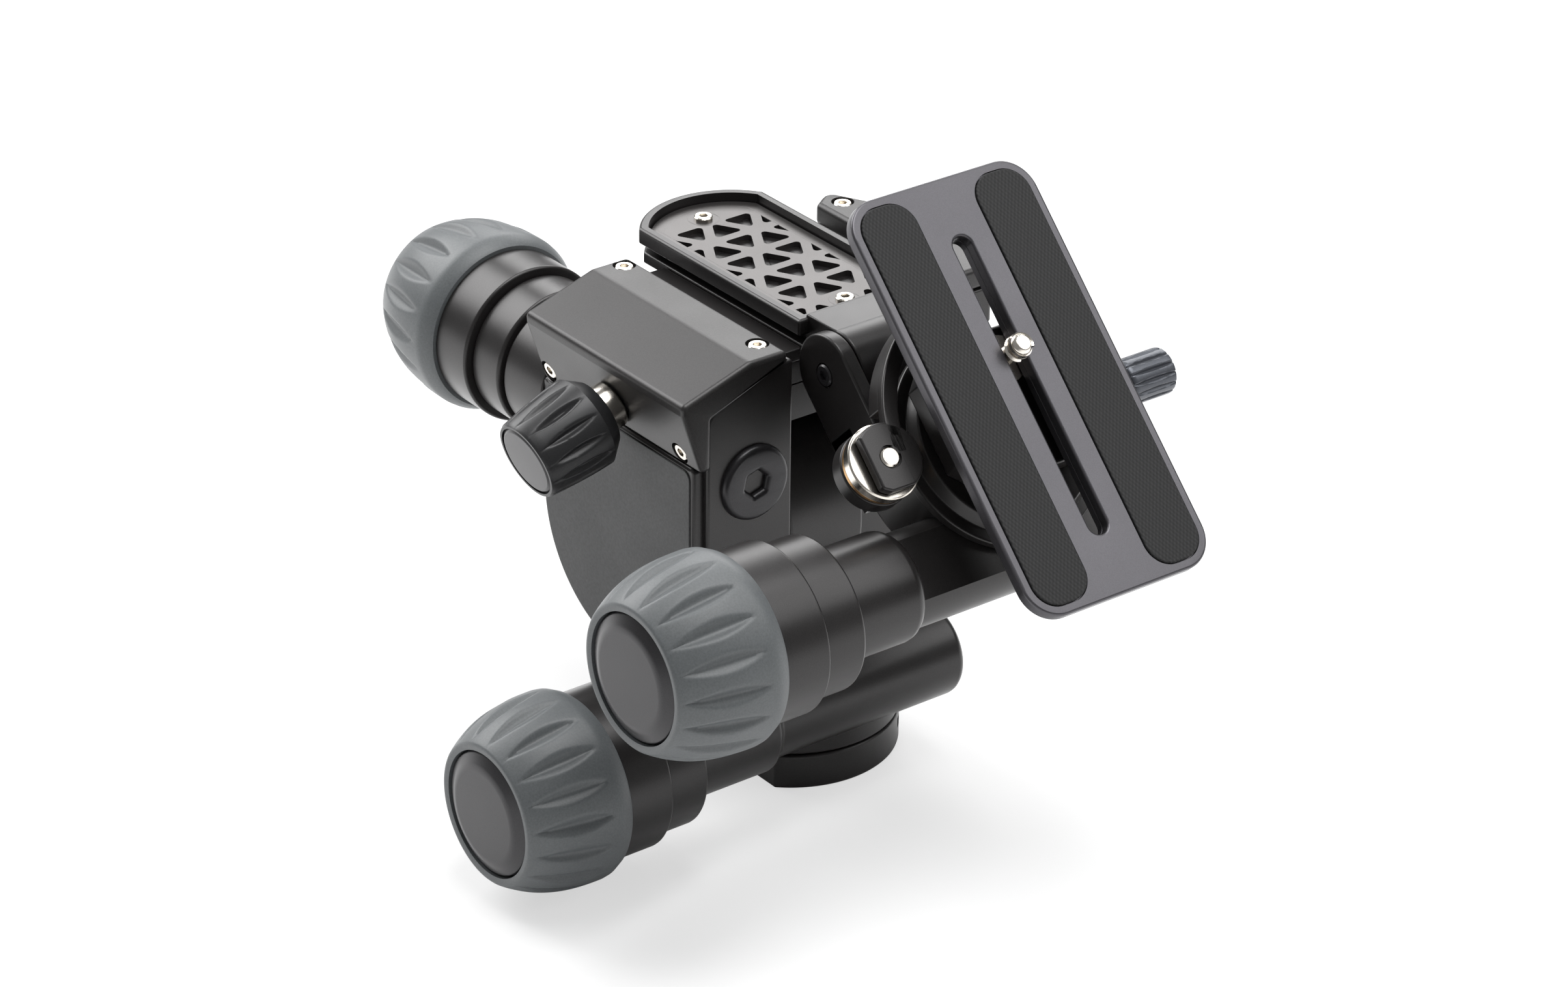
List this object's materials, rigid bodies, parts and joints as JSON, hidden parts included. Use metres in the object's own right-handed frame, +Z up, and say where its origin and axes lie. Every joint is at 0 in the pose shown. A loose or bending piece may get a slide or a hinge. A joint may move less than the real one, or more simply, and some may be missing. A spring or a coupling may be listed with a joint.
{
  "type": "remote pan tilt head",
  "caption": "Geared three-way camera head with a folding arm, worm drives under fluted knobs, a dovetail clamp and a slotted quick release plate.",
  "frame": {"origin": "Centre of the base disc's underside, on the pan axis.", "axes": "+Z up the pan axis; X along the top rail, + towards the folding arm; Y along the two lower worm housings, - towards their knobs."},
  "size_m": [0.23, 0.1712, 0.1642],
  "materials": {
    "base_disc": "black satin anodised",
    "pan_wheel": "bare machined bronze",
    "pan_housing": "black satin anodised",
    "pan_set_screw_1": "bright nickel plated",
    "pan_set_screw_2": "bright nickel plated",
    "tilt_axle": "bright nickel plated",
    "tilt_wheel": "bare machined bronze",
    "pan_knob_core": "black satin anodised",
    "pan_knob_grip": "matt moulded rubber",
    "pan_knob_cap": "black satin anodised",
    "pan_worm": "bright nickel plated",
    "pan_release_ring": "black satin anodised",
    "tilt_frame": "fine textured dark coat",
    "end_bolt": "bright nickel plated",
    "near_cover": "fine textured dark coat",
    "far_cover": "fine textured dark coat",
    "far_cover_screw": "bright nickel plated",
    "cover_screw_1": "bright nickel plated",
    "cover_screw_2": "bright nickel plated",
    "cover_screw_3": "bright nickel plated",
    "cover_screw_4": "bright nickel plated",
    "lock_collar": "bright nickel plated",
    "top_rail": "black satin anodised",
    "lattice_panel": "grey satin anodised",
    "panel_screw_1": "bright nickel plated",
    "panel_screw_2": "bright nickel plated",
    "tilt_knob_core": "black satin anodised",
    "tilt_knob_grip": "matt moulded rubber",
    "tilt_knob_cap": "black satin anodised",
    "tilt_worm": "bright nickel plated",
    "tilt_release_ring": "black satin anodised",
    "lock_knob": "black satin anodised",
    "lock_knob_cap": "bright nickel plated",
    "yoke": "black satin anodised",
    "hinge_screw_near": "bright nickel plated",
    "hinge_screw_far": "bright nickel plated",
    "rotator_knob_core": "black satin anodised",
    "rotator_knob_grip": "matt moulded rubber",
    "rotator_knob_cap": "black satin anodised",
    "rotator_worm": "bright nickel plated",
    "rotator_release_ring": "black satin anodised",
    "turntable": "black satin anodised",
    "rotator_wheel": "bare machined bronze",
    "clamp_bed": "black satin anodised",
    "lever_pin": "bright nickel plated",
    "lever_washer": "bare machined bronze",
    "clamp_jaw": "black satin anodised",
    "clamp_screw": "bright nickel plated",
    "clamp_knob": "matt moulded rubber",
    "lever": "black satin anodised",
    "lever_ring": "bright nickel plated",
    "quick_plate": "black satin anodised",
    "plate_pad_near": "matt ribbed rubber",
    "plate_pad_far": "matt ribbed rubber",
    "camera_screw": "bright nickel plated"
  },
  "bodies": {
    "base": {"base_disc": "base_disc", "pan_wheel": "pan_wheel"},
    "pan_body": {"pan_housing": "pan_housing", "pan_set_screw_1": "pan_set_screw_1", "pan_set_screw_2": "pan_set_screw_2", "tilt_axle": "tilt_axle", "tilt_wheel": "tilt_wheel"},
    "pan_drive": {"pan_knob_core": "pan_knob_core", "pan_knob_grip": "pan_knob_grip", "pan_knob_cap": "pan_knob_cap", "pan_worm": "pan_worm"},
    "pan_ring": {"pan_release_ring": "pan_release_ring"},
    "tilt_body": {"tilt_frame": "tilt_frame", "end_bolt": "end_bolt", "near_cover": "near_cover", "far_cover": "far_cover", "far_cover_screw": "far_cover_screw", "cover_screw_1": "cover_screw_1", "cover_screw_2": "cover_screw_2", "cover_screw_3": "cover_screw_3", "cover_screw_4": "cover_screw_4", "lock_collar": "lock_collar", "top_rail": "top_rail", "lattice_panel": "lattice_panel", "panel_screw_1": "panel_screw_1", "panel_screw_2": "panel_screw_2"},
    "tilt_drive": {"tilt_knob_core": "tilt_knob_core", "tilt_knob_grip": "tilt_knob_grip", "tilt_knob_cap": "tilt_knob_cap", "tilt_worm": "tilt_worm"},
    "tilt_ring": {"tilt_release_ring": "tilt_release_ring"},
    "lock": {"lock_knob": "lock_knob", "lock_knob_cap": "lock_knob_cap"},
    "fold_arm": {"yoke": "yoke", "hinge_screw_near": "hinge_screw_near", "hinge_screw_far": "hinge_screw_far"},
    "rotator_drive": {"rotator_knob_core": "rotator_knob_core", "rotator_knob_grip": "rotator_knob_grip", "rotator_knob_cap": "rotator_knob_cap", "rotator_worm": "rotator_worm"},
    "rotator_ring": {"rotator_release_ring": "rotator_release_ring"},
    "table": {"turntable": "turntable", "rotator_wheel": "rotator_wheel", "clamp_bed": "clamp_bed", "lever_pin": "lever_pin", "lever_washer": "lever_washer"},
    "jaw": {"clamp_jaw": "clamp_jaw"},
    "jaw_drive": {"clamp_screw": "clamp_screw", "clamp_knob": "clamp_knob"},
    "release_lever": {"lever": "lever", "lever_ring": "lever_ring"},
    "plate": {"quick_plate": "quick_plate", "plate_pad_near": "plate_pad_near", "plate_pad_far": "plate_pad_far"},
    "camera_bolt": {"camera_screw": "camera_screw"}
  },
  "joints": [
    {"name": "pan", "type": "hinge", "parent": "base", "child": "pan_body", "pos_m": [0, 0, 0.026], "axis": [0, 0, 1], "continuous": true},
    {"name": "pan_knob_turn", "type": "hinge", "parent": "pan_body", "child": "pan_drive", "pos_m": [0.0228, 0, 0.026], "axis": [0, 1, 0], "continuous": true},
    {"name": "pan_ring_twist", "type": "hinge", "parent": "pan_body", "child": "pan_ring", "pos_m": [0.0228, -0.06, 0.026], "axis": [0, 1, 0], "range_deg": [0, 25], "stiffness_Nm_per_rad": 0.03},
    {"name": "tilt", "type": "hinge", "parent": "pan_body", "child": "tilt_body", "pos_m": [-0.0152, 0, 0.0647], "axis": [0, 1, 0], "range_deg": [-36, 16]},
    {"name": "tilt_knob_turn", "type": "hinge", "parent": "tilt_body", "child": "tilt_drive", "pos_m": [-0.0152, -0.0244, 0.0875], "axis": [1, 0, 0], "range_deg": [-1080, 480]},
    {"name": "tilt_ring_twist", "type": "hinge", "parent": "tilt_body", "child": "tilt_ring", "pos_m": [-0.07, -0.0244, 0.0875], "axis": [1, 0, 0], "range_deg": [0, 25], "stiffness_Nm_per_rad": 0.03},
    {"name": "lock_knob_turn", "type": "hinge", "parent": "tilt_body", "child": "lock", "pos_m": [-0.0152, -0.04391, 0.1024], "axis": [0, -0.9524, -0.3048], "range_deg": [0, 360]},
    {"name": "fold", "type": "hinge", "parent": "tilt_body", "child": "fold_arm", "pos_m": [0.0208, 0.0147, 0.1131], "axis": [0, 1, 0], "range_deg": [-45, 8]},
    {"name": "rotator", "type": "hinge", "parent": "fold_arm", "child": "table", "pos_m": [0.05382, 0.0147, 0.09832], "axis": [0.7071, 0, 0.7071], "range_deg": [-270, 6]},
    {"name": "rotator_knob_turn", "type": "hinge", "parent": "fold_arm", "child": "rotator_drive", "pos_m": [0.06994, 0.0147, 0.0822], "axis": [0, 1, 0], "range_deg": [-180, 8100]},
    {"name": "rotator_ring_twist", "type": "hinge", "parent": "fold_arm", "child": "rotator_ring", "pos_m": [0.06994, -0.0503, 0.0822], "axis": [0, 1, 0], "range_deg": [0, 25], "stiffness_Nm_per_rad": 0.03},
    {"name": "jaw_slide", "type": "slide", "parent": "table", "child": "jaw", "axis": [0, 1, 0], "range_m": [0, 0.002]},
    {"name": "jaw_knob_turn", "type": "hinge", "parent": "jaw", "child": "jaw_drive", "pos_m": [0.06775, 0.0527, 0.11338], "axis": [0, 1, 0], "range_deg": [0, 900]},
    {"name": "lever_swing", "type": "hinge", "parent": "table", "child": "release_lever", "pos_m": [0.06492, -0.0227, 0.11282], "axis": [0.7071, 0, 0.7071], "range_deg": [0, 75]},
    {"name": "plate_slide", "type": "slide", "parent": "table", "child": "plate", "axis": [0.7071, 0, -0.7071], "range_m": [-0.02, 0.02]},
    {"name": "camera_bolt_slide", "type": "slide", "parent": "plate", "child": "camera_bolt", "axis": [0.7071, 0, -0.7071], "range_m": [-0.024, 0.042]}
  ],
  "couplings": [
    {"joint": "pan_knob_turn", "follows": "pan", "ratio": 30},
    {"joint": "tilt_knob_turn", "follows": "tilt", "ratio": 30},
    {"joint": "rotator_knob_turn", "follows": "rotator", "ratio": -30},
    {"joint": "jaw_knob_turn", "follows": "jaw_slide", "rad_per_m": 7854}
  ]
}
